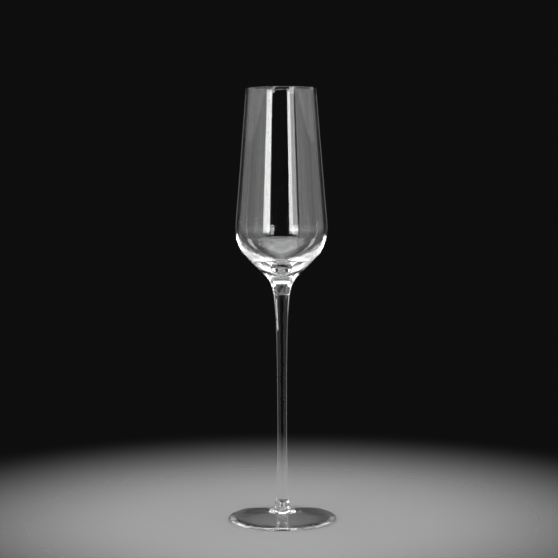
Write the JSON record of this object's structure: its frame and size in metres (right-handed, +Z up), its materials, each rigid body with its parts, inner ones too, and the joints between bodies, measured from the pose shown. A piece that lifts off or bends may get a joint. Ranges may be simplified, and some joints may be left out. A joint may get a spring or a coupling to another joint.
{
  "type": "champagne flute",
  "caption": "Tall champagne flute in clear crystal: tapered bowl with a thick solid base, long slender drawn stem and a round, thin, shallow cone of a foot.",
  "frame": {"origin": "centre of the foot's underside outline, on the table plane that the resting ring touches", "axes": "+Z up along the glass's axis, from the foot to the lip; the glass is turned about +Z, so X and Y are any two directions across it"},
  "size_m": [0.075, 0.075, 0.3],
  "materials": {
    "foot_glass": "clear fire-polished crystal",
    "stem_glass": "clear drawn crystal",
    "bowl_glass": "clear blown crystal"
  },
  "bodies": {
    "root": {"foot": "foot_glass", "stem": "stem_glass", "bowl": "bowl_glass"}
  },
  "joints": []
}
